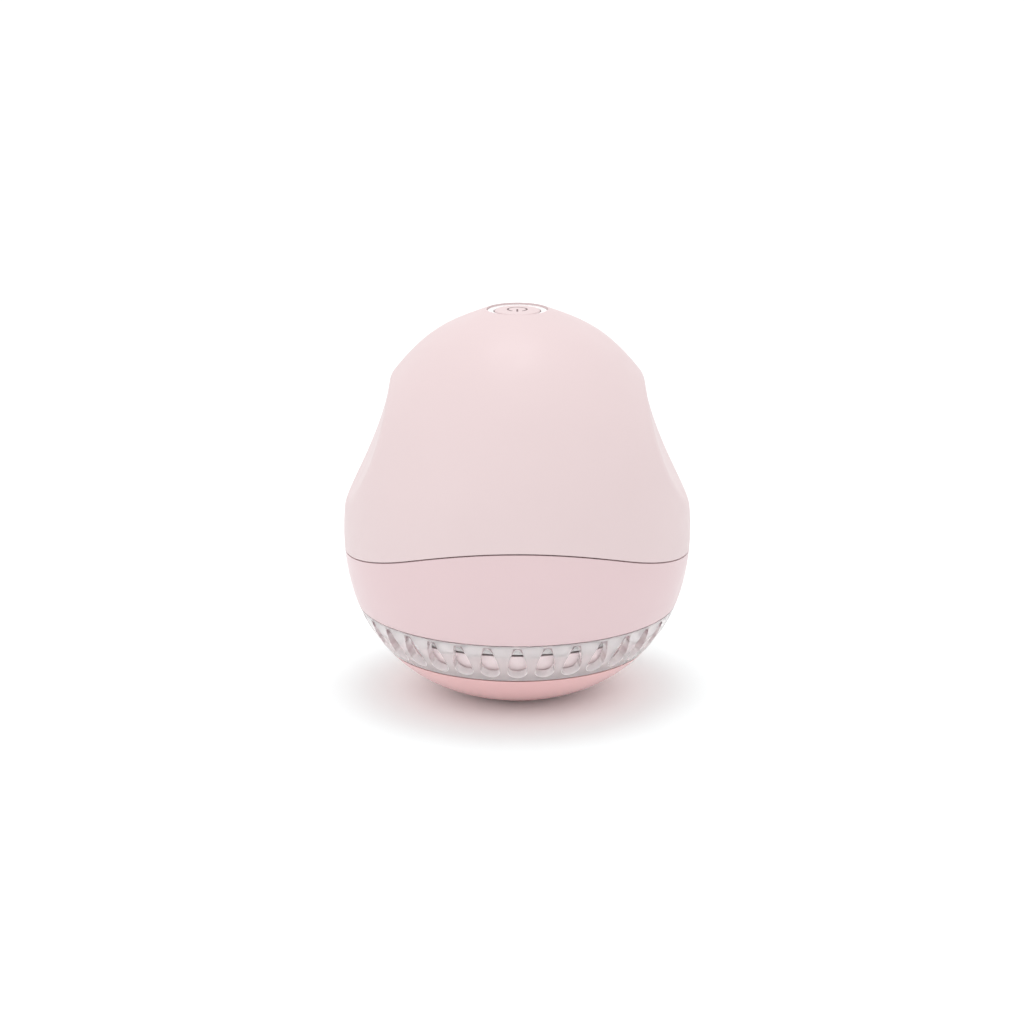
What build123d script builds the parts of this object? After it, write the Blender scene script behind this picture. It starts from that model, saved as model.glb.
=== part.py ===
from build123d import *
from math import asin, atan2, cos, degrees, hypot, radians, sin, sqrt
import os

# Egg-shaped rechargeable fabric shaver standing on its protective cap.
# Millimetres, +Z up, origin at the centre of the foot, front towards -Y.

# ---------------------------------------------------------------- driving dimensions

BODY_D = 76.0            # widest diameter of the egg
EQUATOR_Z = 36.5         # height of the widest section
DOME_H = 49.65           # rise of the dome above the widest section
DOME_STEPS = 7           # spans of the spline through the dome's quarter ellipse
BELLY_LOW_Z = -1.1       # where the belly curve would close; the foot is cut flat at z = 0
BELLY_BOTTOM_R = 44.0    # arc of the belly round the foot
BELLY_JOIN_R = 32.8      # arc between the bottom and the side
BELLY_SIDE_R = 47.0      # arc of the belly below the widest section

SHELL_T = 2.0            # wall of the pink shells
COMB_T = 1.8             # wall of the clear comb ring and of the cap
BODY_GAP = 0.3           # visible gap between bodies that come apart

GRIP_X = 90.9            # axis of each finger grip scoop, parallel to Y
GRIP_Z = 78.2
GRIP_R = 63.8
GRIP_EDGE_R = 5.0        # soft shoulder around the grips

SEAM_Z = 41.55           # wavy parting line, highest at the front and the back
SEAM_R = 72.0
SEAM_ARC_X = 23.0        # half width of the curved part, straight outside it

CAP_TOP_Z = 10.75
CAP_FLOOR_T = 1.8
COMB_TOP_Z = 20.5
COMB_LOW_Z = CAP_TOP_Z + BODY_GAP
SHELL_LOW_Z = COMB_TOP_Z + BODY_GAP

HOLE_COUNT = 34          # teardrop openings round the comb ring
HOLE_HIGH_Z = 19.9
HOLE_LOW_Z = 12.1
HOLE_R = 2.0             # round lower end
HOLE_TIP_R = 0.72        # narrow upper end

SHAFT_R = 1.0
MOTOR_R = 12.0
HOUSING_R = 14.6
PLATE_LOW_Z = 41.6       # chassis plate
PLATE_T = 2.0
PLATE_TOP_Z = PLATE_LOW_Z + PLATE_T
SPIGOT_R = 34.2
SPIGOT_T = 1.8
SPIGOT_LOW_Z = 29.0

FOIL_Z = 11.6            # inner face of the foil seat
FOIL_T = 0.25
FOIL_R = 23.2
WINDOW_R = 21.8          # round window of the shaving head
BLADE_COUNT = 6
BLADE_R = 21.2

CELL_R = 7.0
CELL_L = 49.0
CELL_Z = 60.5
BOARD_Z = 70.0           # underside of the main board
BOARD_T = 1.2
BOARD_R = 18.0

BUTTON_R = 4.94
BUTTON_TRAVEL = 0.5
LIGHT_R = 6.6
LIGHT_BORE_R = 5.15

SOCKET_Z = 50.0          # charging socket, at the back

# ---------------------------------------------------------------- derived values

BODY_R = BODY_D / 2
DOME_TOP_Z = EQUATOR_Z + DOME_H
BOTTOM_C_Z = BELLY_LOW_Z + BELLY_BOTTOM_R
SIDE_C_X = BODY_R - BELLY_SIDE_R


def join_centre():
    """Centre of the joining arc, which lies inside and touches the bottom and side arcs."""
    from_bottom = BELLY_BOTTOM_R - BELLY_JOIN_R
    from_side = BELLY_SIDE_R - BELLY_JOIN_R
    dx = SIDE_C_X
    dz = EQUATOR_Z - BOTTOM_C_Z
    apart = hypot(dx, dz)
    along = (from_bottom**2 - from_side**2 + apart**2) / (2 * apart)
    across = sqrt(from_bottom**2 - along**2)
    return (
        (along * dx - across * dz) / apart,
        BOTTOM_C_Z + (along * dz + across * dx) / apart,
    )


def belly_angles():
    """Centre of the joining arc, and the directions of its two tangent points."""
    x, z = join_centre()
    low = degrees(atan2(z - BOTTOM_C_Z, x))
    high = degrees(atan2(z - EQUATOR_Z, x - SIDE_C_X))
    return x, z, low, high


def dome_points(inset):
    """Points along the dome's quarter ellipse, moved inwards by inset."""
    turns = [radians(90 * step / DOME_STEPS) for step in range(DOME_STEPS + 1)]
    return [
        ((BODY_R - inset) * cos(turn), EQUATOR_Z + (DOME_H - inset) * sin(turn))
        for turn in turns
    ]


def egg(inset=0.0, low=None, high=None):
    """Half section of the egg moved inwards by inset, cut to a band of heights."""
    x, z, low_angle, high_angle = belly_angles()
    with BuildSketch(mode=Mode.PRIVATE) as section:
        with BuildLine():
            bottom = CenterArc((0, BOTTOM_C_Z), BELLY_BOTTOM_R - inset, -90, 90 + low_angle)
            CenterArc((x, z), BELLY_JOIN_R - inset, low_angle, high_angle - low_angle)
            CenterArc((SIDE_C_X, EQUATOR_Z), BELLY_SIDE_R - inset, high_angle, -high_angle)
            dome = Spline(*dome_points(inset), tangents=[(0, 1), (-1, 0)])
            Line(dome @ 1, bottom @ 0)
        make_face()
        if low is not None:
            with Locations((0, low)):
                Rectangle(BODY_D, high - low, align=(Align.MIN, Align.MIN), mode=Mode.INTERSECT)
    return section.sketch


def egg_wall(outer, inner, low, high):
    """Section of an egg-shaped wall between two insets and two heights."""
    with BuildSketch(mode=Mode.PRIVATE) as section:
        add(egg(outer, low, high))
        add(egg(inner), mode=Mode.SUBTRACT)
    return section.sketch


def belly_radius(z, inset=0.0):
    """Radius of the belly at a height on its joining arc."""
    x, centre_z, _, _ = belly_angles()
    return x + sqrt((BELLY_JOIN_R - inset)**2 - (z - centre_z)**2)


def ring(r_in, r_out, low, high):
    """Rectangle of a ring's half section, for the XZ plane."""
    with Locations(((r_in + r_out) / 2, (low + high) / 2)):
        Rectangle(r_out - r_in, high - low)


def half_plane(angle):
    """Vertical plane through the axis, facing along an azimuth: x outwards, y up."""
    turn = radians(angle)
    return Plane((0, 0, 0), x_dir=(cos(turn), sin(turn), 0), z_dir=(sin(turn), -cos(turn), 0))


def gripped_egg(inset, low):
    """Solid dome with both finger grips cut into it, moved inwards by inset."""
    with BuildPart(mode=Mode.PRIVATE) as dome:
        with BuildSketch(Plane.XZ):
            add(egg(inset, low, DOME_TOP_Z))
        revolve(axis=Axis.Z)
        with BuildSketch(Plane.XZ):
            with Locations((GRIP_X, GRIP_Z), (-GRIP_X, GRIP_Z)):
                Circle(GRIP_R + inset)
        extrude(amount=BODY_D, both=True, mode=Mode.SUBTRACT)
    return dome.part


def below_seam(shift):
    """Everything under the wavy parting surface, moved up by shift."""
    drop = SEAM_R - sqrt(SEAM_R**2 - SEAM_ARC_X**2)
    slope = SEAM_ARC_X / sqrt(SEAM_R**2 - SEAM_ARC_X**2)
    reach = BODY_R + 4
    top = SEAM_Z + shift
    edge = top - drop
    far = edge - slope * (reach - SEAM_ARC_X)
    with BuildPart(mode=Mode.PRIVATE) as block:
        with BuildSketch(Plane.XZ):
            with BuildLine():
                ThreePointArc((-SEAM_ARC_X, edge), (0, top), (SEAM_ARC_X, edge))
                Polyline(
                    (SEAM_ARC_X, edge), (reach, far), (reach, 0), (-reach, 0), (-reach, far),
                    (-SEAM_ARC_X, edge),
                )
            make_face()
        extrude(amount=BODY_D, both=True)
    return block.part


def finish(piece, name):
    """Label a finished piece and write it."""
    piece.part.label = name
    export_step(piece.part, f"parts/{name}.step")


os.makedirs("parts", exist_ok=True)

# ---------------------------------------------------------------- protective cap and stand

CAP_SPIGOT_IN = 24.3
CAP_SPIGOT_OUT = 25.5
CAP_SPIGOT_TOP = 12.4

with BuildPart() as cap_shell:
    with BuildSketch(Plane.XZ):
        add(egg(0, 0, CAP_TOP_Z))
        add(egg(COMB_T, CAP_FLOOR_T, DOME_TOP_Z), mode=Mode.SUBTRACT)
        ring(CAP_SPIGOT_IN, CAP_SPIGOT_OUT, 8.6, CAP_SPIGOT_TOP)
    revolve(axis=Axis.Z)
finish(cap_shell, "cap_shell")

# ---------------------------------------------------------------- shaving head


def wall_plane(angle):
    """Plane on the comb wall at an azimuth, its origin at the tips of the openings, y up the wall."""
    tip_r = belly_radius(HOLE_HIGH_Z)
    flare = tip_r - belly_radius(HOLE_LOW_Z)
    rise = HOLE_HIGH_Z - HOLE_LOW_Z
    turn = radians(angle)
    outward = Vector(cos(turn), sin(turn), 0)
    normal = outward * rise - Vector(0, 0, flare)
    return Plane(
        outward * tip_r + Vector(0, 0, HOLE_HIGH_Z),
        x_dir=(-sin(turn), cos(turn), 0),
        z_dir=normal,
    )


def teardrop():
    """Outline of one opening in the comb wall: x across, y along the wall from its tip down."""
    x_high = belly_radius(HOLE_HIGH_Z)
    x_low = belly_radius(HOLE_LOW_Z)
    length = hypot(x_high - x_low, HOLE_HIGH_Z - HOLE_LOW_Z)
    straight = 1.2
    widest = HOLE_R + straight - length
    tip = -HOLE_TIP_R
    rise = tip - widest
    side_r = (rise**2 + HOLE_R**2 - HOLE_TIP_R**2) / (2 * (HOLE_R - HOLE_TIP_R))
    lean = asin(rise / (side_r - HOLE_TIP_R))
    touch_x = HOLE_TIP_R * cos(lean)
    touch_y = tip + HOLE_TIP_R * sin(lean)
    mid_x = side_r * cos(lean / 2) - (side_r - HOLE_R)
    mid_y = widest + side_r * sin(lean / 2)
    with BuildSketch(mode=Mode.PRIVATE) as outline:
        with BuildLine():
            ThreePointArc((-touch_x, touch_y), (0, 0), (touch_x, touch_y))
            ThreePointArc((touch_x, touch_y), (mid_x, mid_y), (HOLE_R, widest))
            Line((HOLE_R, widest), (HOLE_R, widest - straight))
            ThreePointArc((HOLE_R, widest - straight), (0, -length), (-HOLE_R, widest - straight))
            Line((-HOLE_R, widest - straight), (-HOLE_R, widest))
            ThreePointArc((-HOLE_R, widest), (-mid_x, mid_y), (-touch_x, touch_y))
        make_face()
    return outline.sketch


COLLAR_IN = 31.4
COLLAR_OUT = 32.7
COLLAR_TOP = 25.0
LUG_OUT = 34.0
LUG_LOW = 23.6
LUG_HIGH = 24.8
LUG_ANGLE = 24.0
LUG_COUNT = 4
LIP_R = 26.3             # inner edge of the comb's lower lip, where the foil holder seats

with BuildPart() as comb_ring:
    with BuildSketch(Plane.XZ):
        add(egg_wall(0, COMB_T, COMB_LOW_Z, COMB_TOP_Z))
        ring(LIP_R, belly_radius(COMB_LOW_Z) - 1, COMB_LOW_Z, COMB_LOW_Z + 0.8)
        ring(COLLAR_IN, belly_radius(COMB_TOP_Z) - 1, COMB_TOP_Z - 0.7, COMB_TOP_Z)
        ring(COLLAR_IN, COLLAR_OUT, COMB_TOP_Z - 0.7, COLLAR_TOP)
    revolve(axis=Axis.Z)
    # bayonet lugs
    for number in range(LUG_COUNT):
        with BuildSketch(half_plane(45 + number * 360 / LUG_COUNT - LUG_ANGLE / 2)):
            ring(COLLAR_OUT - 0.5, LUG_OUT, LUG_LOW, LUG_HIGH)
    revolve(axis=Axis.Z, revolution_arc=LUG_ANGLE)
    # teardrop openings, cut square to the slanted wall
    for number in range(HOLE_COUNT):
        with BuildSketch(wall_plane(number * 360 / HOLE_COUNT - 90)):
            add(teardrop())
    extrude(amount=2 * COMB_T, both=True, mode=Mode.SUBTRACT)
finish(comb_ring, "comb_ring")

HOLDER_OUT = COMB_T + 0.4          # insets of the foil holder's slanted wall
HOLDER_IN = HOLDER_OUT + 1.6
HOLDER_TOP_Z = 17.0
HOLDER_FLOOR_Z = 13.6
SEAT_R = FOIL_R + 0.2
GROOVE_IN = 24.0                   # groove that takes the cap's spigot
GROOVE_OUT = 25.8
GROOVE_TOP = 12.7

with BuildPart() as foil_holder:
    with BuildSketch(Plane.XZ):
        add(egg_wall(HOLDER_OUT, HOLDER_IN, GROOVE_TOP, HOLDER_TOP_Z))
        ring(SEAT_R, LIP_R, COMB_LOW_Z, HOLDER_FLOOR_Z)
        ring(WINDOW_R, SEAT_R, COMB_LOW_Z, FOIL_Z)
        with Locations(((GROOVE_IN + GROOVE_OUT) / 2, (COMB_LOW_Z + GROOVE_TOP) / 2)):
            Rectangle(GROOVE_OUT - GROOVE_IN, GROOVE_TOP - COMB_LOW_Z, mode=Mode.SUBTRACT)
    revolve(axis=Axis.Z)
finish(foil_holder, "foil_holder")

CLAMP_TOP_Z = 13.2

with BuildPart() as foil_clamp:
    with BuildSketch(Plane.XZ):
        ring(WINDOW_R, FOIL_R, FOIL_Z + FOIL_T, CLAMP_TOP_Z)
    revolve(axis=Axis.Z)
finish(foil_clamp, "foil_clamp")

PERFORATION_R = 0.75
PERFORATION_PITCH = 2.9
PERFORATION_ROWS = 7

with BuildPart() as shaving_foil:
    with BuildSketch(Plane.XY.offset(FOIL_Z)):
        Circle(FOIL_R)
        Circle(PERFORATION_R, mode=Mode.SUBTRACT)
        for row in range(1, PERFORATION_ROWS + 1):
            with PolarLocations(row * PERFORATION_PITCH, 6 * row):
                Circle(PERFORATION_R, mode=Mode.SUBTRACT)
    extrude(amount=FOIL_T)
finish(shaving_foil, "shaving_foil")

# ---------------------------------------------------------------- lint bowl

LEDGE_IN = 33.0
LEDGE_LOW = 21.8
LEDGE_HIGH = 23.2
LEDGE_ANGLE = 40.0

with BuildPart() as lower_shell:
    with BuildSketch(Plane.XZ):
        add(egg_wall(0, SHELL_T, SHELL_LOW_Z, SEAM_Z + 4))
    revolve(axis=Axis.Z)
    add(below_seam(-BODY_GAP / 2), mode=Mode.INTERSECT)
    # bayonet ledges under the lugs of the shaving head
    for number in range(LUG_COUNT):
        with BuildSketch(half_plane(45 + number * 360 / LUG_COUNT - LEDGE_ANGLE / 2)):
            ring(LEDGE_IN, belly_radius(LEDGE_LOW, 1), LEDGE_LOW, LEDGE_HIGH)
    revolve(axis=Axis.Z, revolution_arc=LEDGE_ANGLE)
finish(lower_shell, "lower_shell")

CUP_IN = 30.2
CUP_OUT = 31.1
CUP_LOW_Z = HOLDER_TOP_Z + 0.5
CUP_RIM_Z = 25.6
CUP_RIM_R = 34.5

with BuildPart() as lint_cup:
    with BuildSketch(Plane.XZ):
        ring(CUP_IN, CUP_OUT, CUP_LOW_Z, CUP_RIM_Z + 1.2)
        ring(CUP_IN, CUP_RIM_R, CUP_RIM_Z, CUP_RIM_Z + 1.2)
    revolve(axis=Axis.Z)
finish(lint_cup, "lint_cup")

# ---------------------------------------------------------------- motor unit: casing

BOSS_X = 18.5
BOSS_Y = 23.5
BOSS_R = 2.8
PILOT_R = 1.1
POST_XY = 9.9            # posts of the main board
POST_R = 2.2
SLOT_L = 10.6            # opening for the charging plug
SLOT_H = 4.4


def shell_posts():
    """Screw bosses and board posts, trimmed to the inside of the upper shell."""
    with BuildPart(mode=Mode.PRIVATE) as posts:
        with BuildSketch(Plane.XY.offset(PLATE_TOP_Z)):
            with GridLocations(2 * BOSS_X, 2 * BOSS_Y, 2, 2):
                Circle(BOSS_R)
        extrude(amount=30)
        with BuildSketch(Plane.XY.offset(BOARD_Z + BOARD_T)):
            with GridLocations(2 * POST_XY, 2 * POST_XY, 2, 2):
                Circle(POST_R)
        extrude(amount=20)
        add(gripped_egg(SHELL_T / 2, 28), mode=Mode.INTERSECT)
        with BuildSketch(Plane.XY.offset(PLATE_TOP_Z)):
            with GridLocations(2 * BOSS_X, 2 * BOSS_Y, 2, 2):
                Circle(PILOT_R)
        extrude(amount=9, mode=Mode.SUBTRACT)
        with BuildSketch(Plane.XY.offset(BOARD_Z + BOARD_T)):
            with GridLocations(2 * POST_XY, 2 * POST_XY, 2, 2):
                Circle(PILOT_R)
        extrude(amount=4, mode=Mode.SUBTRACT)
    return posts.part


with BuildPart() as upper_shell:
    add(gripped_egg(0, 28))
    fillet(edges().filter_by(GeomType.BSPLINE), GRIP_EDGE_R)
    add(gripped_egg(SHELL_T, 20), mode=Mode.SUBTRACT)
    add(below_seam(BODY_GAP / 2), mode=Mode.SUBTRACT)
    add(shell_posts())
    # seat of the light ring in the crown
    with BuildSketch(Plane.XY.offset(BOARD_Z + 8)):
        Circle(LIGHT_R + 0.05)
    extrude(amount=12, mode=Mode.SUBTRACT)
    # opening for the charging plug
    with BuildSketch(Plane.XZ.offset(-BODY_R - 2)):
        with Locations((0, SOCKET_Z)):
            SlotOverall(SLOT_L, SLOT_H)
    extrude(amount=8, mode=Mode.SUBTRACT)
finish(upper_shell, "upper_shell")

LIGHT_FLANGE_R = 8.6
LIGHT_FLANGE_Z = 81.2
LIGHT_LOW_Z = 80.5

CROWN_Z = 85.2           # top of the light ring, level with the shell around it

with BuildPart() as light_ring:
    with BuildSketch(Plane.XZ):
        ring(LIGHT_BORE_R, LIGHT_R, LIGHT_LOW_Z, CROWN_Z)
        ring(LIGHT_R - 0.5, LIGHT_FLANGE_R, LIGHT_FLANGE_Z, LIGHT_FLANGE_Z + 1.2)
    revolve(axis=Axis.Z)
    fillet(edges().group_by(Axis.Z)[-1], 0.25)
finish(light_ring, "light_ring")

# ---------------------------------------------------------------- power button

BUTTON_TOP_Z = 85.5
BUTTON_LOW_Z = 79.0
BUTTON_CROWN_R = 60.0    # gentle dome of the button's face
STEM_R = 1.6
STEM_LOW_Z = 77.0

SYMBOL_R = 2.05
SYMBOL_LINE = 0.4
SYMBOL_GAP = 70.0        # opening of the ring, towards the front
SYMBOL_DEPTH = 0.3


def power_symbol():
    """Broken ring with a bar in its gap."""
    with BuildSketch(mode=Mode.PRIVATE) as symbol:
        with BuildLine():
            CenterArc((0, 0), SYMBOL_R, -90 + SYMBOL_GAP / 2, 360 - SYMBOL_GAP)
            offset(amount=SYMBOL_LINE / 2)
        make_face()
        with Locations((0, -SYMBOL_R * 0.62)):
            SlotOverall(SYMBOL_R * 1.2, SYMBOL_LINE, rotation=90)
    return symbol.sketch


with BuildPart() as button_cap:
    with BuildSketch(Plane.XZ):
        ring(0, BUTTON_R, BUTTON_LOW_Z + 4.4, BUTTON_TOP_Z)
        ring(BUTTON_R - 1.2, BUTTON_R, BUTTON_LOW_Z, BUTTON_TOP_Z)
        ring(BUTTON_R - 1.2, BUTTON_R + 0.9, BUTTON_LOW_Z, BUTTON_LOW_Z + 0.8)
        ring(0, STEM_R, STEM_LOW_Z, BUTTON_TOP_Z)
        with Locations((0, BUTTON_TOP_Z - BUTTON_CROWN_R)):
            Circle(BUTTON_CROWN_R, mode=Mode.INTERSECT)
    revolve(axis=Axis.Z)
    rim = edges().filter_by(GeomType.CIRCLE).filter_by(
        lambda edge: abs(edge.radius - BUTTON_R) < 0.01 and edge.center().Z > BUTTON_TOP_Z - 1
    )
    fillet(rim, 0.35)
    with BuildSketch(Plane.XY.offset(BUTTON_TOP_Z - SYMBOL_DEPTH)):
        add(power_symbol())
    extrude(amount=1, mode=Mode.SUBTRACT)
finish(button_cap, "button_cap")

with BuildPart() as button_symbol:
    with BuildSketch(Plane.XY.offset(BUTTON_TOP_Z - SYMBOL_DEPTH)):
        add(power_symbol())
    extrude(amount=SYMBOL_DEPTH - 0.03)
finish(button_symbol, "button_symbol")

SWITCH_TOP_Z = 74.7
PLUNGER_R = 1.75
PLUNGER_LOW_Z = 73.7

with BuildPart() as switch_plunger:
    with BuildSketch(Plane.XY.offset(PLUNGER_LOW_Z)):
        Circle(PLUNGER_R)
    extrude(amount=STEM_LOW_Z - PLUNGER_LOW_Z)
finish(switch_plunger, "switch_plunger")

# ---------------------------------------------------------------- motor unit: chassis and motor

PLATE_R = 34.2
MOTOR_HOLE_R = 13.0
SEAL_Z = 34.0
SEAL_RING_R = 34.75
SEAL_WIRE_R = 0.75
FLANGE_R = 18.2
FLANGE_SCREW_R = 16.4
FLANGE_LOW_Z = 40.0
SCREW_R = 1.0
SOCKET_POST_X = 5.6
SOCKET_POST_Y = 23.6
SOCKET_BOARD_Z = 47.4
SOCKET_BOARD_T = 1.0

with BuildPart() as chassis:
    with BuildSketch(Plane.XZ):
        ring(MOTOR_HOLE_R, PLATE_R, PLATE_LOW_Z, PLATE_TOP_Z)
        ring(SPIGOT_R - SPIGOT_T, SPIGOT_R, SPIGOT_LOW_Z, PLATE_TOP_Z)
        with Locations((SPIGOT_R, SEAL_Z)):
            Rectangle(1.6, 1.6, mode=Mode.SUBTRACT)
    revolve(axis=Axis.Z)
    # latch beads that hold the lint bowl
    for number in range(4):
        with BuildSketch(half_plane(number * 90 - 6)):
            ring(SPIGOT_R - 0.5, SPIGOT_R + 0.8, SPIGOT_LOW_Z + 1.2, SPIGOT_LOW_Z + 2.2)
    revolve(axis=Axis.Z, revolution_arc=12)
    # posts of the charging board
    with BuildSketch(Plane.XY.offset(PLATE_TOP_Z)):
        with GridLocations(2 * SOCKET_POST_X, 0, 2, 1):
            with Locations((0, SOCKET_POST_Y)):
                Circle(1.9)
    extrude(amount=SOCKET_BOARD_Z - PLATE_TOP_Z)
    # screw holes
    with BuildSketch(Plane.XY.offset(PLATE_LOW_Z - 1)):
        with GridLocations(2 * BOSS_X, 2 * BOSS_Y, 2, 2):
            Circle(SCREW_R + 0.1)
        with PolarLocations(FLANGE_SCREW_R, 3, 90):
            Circle(SCREW_R)
    extrude(amount=PLATE_T + 1, mode=Mode.SUBTRACT)
    with BuildSketch(Plane.XY.offset(PLATE_TOP_Z)):
        with GridLocations(2 * SOCKET_POST_X, 0, 2, 1):
            with Locations((0, SOCKET_POST_Y)):
                Circle(0.9)
    extrude(amount=SOCKET_BOARD_Z - PLATE_TOP_Z, mode=Mode.SUBTRACT)
finish(chassis, "chassis")

with BuildPart() as bowl_seal:
    with BuildSketch(Plane.XZ):
        with Locations((SEAL_RING_R, SEAL_Z)):
            Circle(SEAL_WIRE_R)
    revolve(axis=Axis.Z)
finish(bowl_seal, "bowl_seal")


def screws(name, spots, low, length, head_r=1.9, head_t=1.2, shank_r=SCREW_R, up=True):
    """Pan-head cross-recess screws; each head lies below low when up, or above it when not."""
    turn = 1 if up else -1
    base = Plane((0, 0, low), x_dir=(1, 0, 0), z_dir=(0, 0, turn))
    with BuildPart() as group:
        with BuildSketch(base):
            with Locations([(x, turn * y) for x, y in spots]):
                Circle(shank_r)
        extrude(amount=length)
        with BuildSketch(base):
            with Locations([(x, turn * y) for x, y in spots]):
                Circle(head_r)
        extrude(amount=-head_t)
        with BuildSketch(base.offset(-head_t)):
            with Locations([(x, turn * y) for x, y in spots]):
                Rectangle(head_r * 1.1, head_r * 0.28)
                Rectangle(head_r * 0.28, head_r * 1.1)
        extrude(amount=head_t / 2, mode=Mode.SUBTRACT)
    finish(group, name)


def grid(x, y):
    """The four corners of a rectangle round the axis."""
    return [(x, y), (-x, y), (x, -y), (-x, -y)]


def circle_spots(radius, count, start):
    """Points spread evenly on a circle."""
    turns = [radians(start + number * 360 / count) for number in range(count)]
    return [(radius * cos(turn), radius * sin(turn)) for turn in turns]


screws("chassis_screws", grid(BOSS_X, BOSS_Y), PLATE_LOW_Z, 9.0)
screws("housing_screws", circle_spots(FLANGE_SCREW_R, 3, 90), FLANGE_LOW_Z, 3.4, head_r=1.6)
screws("main_board_screws", grid(POST_XY, POST_XY), BOARD_Z, 4.5)
screws(
    "socket_board_screws",
    [(SOCKET_POST_X, SOCKET_POST_Y), (-SOCKET_POST_X, SOCKET_POST_Y)],
    SOCKET_BOARD_Z + SOCKET_BOARD_T, 4.0, head_r=1.7, shank_r=0.8, up=False,
)

HOUSING_FLOOR_Z = 18.3
HOUSING_LOW_Z = 16.0
HOUSING_LOW_R = 13.8
HOUSING_BORE_R = MOTOR_R + 0.3
BUSH_R = 3.0

with BuildPart() as motor_housing:
    with BuildSketch(Plane.XZ):
        with BuildLine():
            Polyline(
                (BUSH_R, HOUSING_LOW_Z), (HOUSING_LOW_R - 1.2, HOUSING_LOW_Z),
                (HOUSING_LOW_R, HOUSING_LOW_Z + 1.2), (HOUSING_R, FLANGE_LOW_Z),
                (FLANGE_R, FLANGE_LOW_Z), (FLANGE_R, PLATE_LOW_Z), (HOUSING_BORE_R, PLATE_LOW_Z),
                (HOUSING_BORE_R, HOUSING_FLOOR_Z), (BUSH_R, HOUSING_FLOOR_Z), (BUSH_R, HOUSING_LOW_Z),
            )
        make_face()
    revolve(axis=Axis.Z)
    with BuildSketch(Plane.XY.offset(FLANGE_LOW_Z)):
        with PolarLocations(FLANGE_SCREW_R, 3, 90):
            Circle(SCREW_R)
    extrude(amount=PLATE_LOW_Z - FLANGE_LOW_Z, mode=Mode.SUBTRACT)
finish(motor_housing, "motor_housing")

CAN_LOW_Z = 18.6
CAN_TOP_Z = 45.5
CAN_T = 0.8
CAN_IN = MOTOR_R - CAN_T

with BuildPart() as motor_can:
    with BuildSketch(Plane.XZ):
        ring(BUSH_R, MOTOR_R, CAN_LOW_Z, CAN_LOW_Z + CAN_T)
        ring(CAN_IN, MOTOR_R, CAN_LOW_Z, CAN_TOP_Z)
    revolve(axis=Axis.Z)
    fillet(edges().group_by(Axis.Z)[0].sort_by(SortBy.RADIUS)[-1], 0.5)
finish(motor_can, "motor_can")

with BuildPart() as motor_magnets:
    for start in (15, 195):
        with BuildSketch(half_plane(start)):
            ring(CAN_IN - 1.6, CAN_IN, CAN_LOW_Z + 4, CAN_TOP_Z - 5)
    revolve(axis=Axis.Z, revolution_arc=150)
finish(motor_magnets, "motor_magnets")

END_BELL_TOP_Z = 48.0

with BuildPart() as motor_end_bell:
    with BuildSketch(Plane.XZ):
        ring(SHAFT_R + 0.05, MOTOR_R - 0.1, CAN_TOP_Z, END_BELL_TOP_Z - 1)
        ring(SHAFT_R + 0.05, MOTOR_R - 2, CAN_TOP_Z, END_BELL_TOP_Z)
    revolve(axis=Axis.Z)
finish(motor_end_bell, "motor_end_bell")

TERMINAL_X = 5.0

with BuildPart() as motor_terminals:
    with BuildSketch(Plane.XY.offset(END_BELL_TOP_Z)):
        with GridLocations(2 * TERMINAL_X, 0, 2, 1):
            Rectangle(0.5, 2.2)
    extrude(amount=3.4)
finish(motor_terminals, "motor_terminals")

with BuildPart() as motor_bush:
    with BuildSketch(Plane.XZ):
        ring(SHAFT_R + 0.05, BUSH_R, HOUSING_LOW_Z + 0.9, CAN_LOW_Z + 2)
    revolve(axis=Axis.Z)
finish(motor_bush, "motor_bush")

with BuildPart() as shaft_seal:
    with BuildSketch(Plane.XZ):
        ring(SHAFT_R + 0.3, BUSH_R, HOUSING_LOW_Z, HOUSING_LOW_Z + 0.85)
    revolve(axis=Axis.Z)
finish(shaft_seal, "shaft_seal")

with BuildPart() as motor_damper:
    with BuildSketch(Plane.XZ):
        ring(MOTOR_R, MOTOR_HOLE_R, PLATE_LOW_Z, PLATE_TOP_Z)
        ring(MOTOR_R, MOTOR_HOLE_R + 1.2, PLATE_TOP_Z, PLATE_TOP_Z + 0.9)
    revolve(axis=Axis.Z)
finish(motor_damper, "motor_damper")

# ---------------------------------------------------------------- cutter

CUTTER_LOW_Z = FOIL_Z + FOIL_T + 0.35
HUB_LOW_Z = 12.9
HUB_TOP_Z = 15.4
HUB_R = 3.6
ARM_LOW_Z = 13.1
ARM_T = 1.2
ARM_W = 2.8
BLADE_T = 0.4
BLADE_TOP_Z = 13.7
SHAFT_LOW_Z = 13.3
SHAFT_TOP_Z = CAN_TOP_Z + 1.8


def blade_slots():
    """Upright strips, one on each arm, a little behind its centre line."""
    with BuildSketch(mode=Mode.PRIVATE) as strips:
        with PolarLocations(0, BLADE_COUNT):
            with Locations(((BLADE_R + 5) / 2, 0.5)):
                Rectangle(BLADE_R - 5, BLADE_T)
    return strips.sketch


with BuildPart() as motor_shaft:
    with BuildSketch(Plane.XY.offset(SHAFT_LOW_Z)):
        Circle(SHAFT_R)
    extrude(amount=SHAFT_TOP_Z - SHAFT_LOW_Z)
finish(motor_shaft, "motor_shaft")

ROTOR_R = 9.2

with BuildPart() as rotor_core:
    with BuildSketch(Plane.XY.offset(CAN_LOW_Z + 5)):
        Circle(ROTOR_R)
        Circle(SHAFT_R, mode=Mode.SUBTRACT)
        with PolarLocations(ROTOR_R - 0.6, 5):
            Rectangle(3, 1.4, mode=Mode.SUBTRACT)
        with PolarLocations(ROTOR_R - 3.4, 5):
            Rectangle(4, 4.4, mode=Mode.SUBTRACT)
    extrude(amount=15)
finish(rotor_core, "rotor_core")

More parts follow.
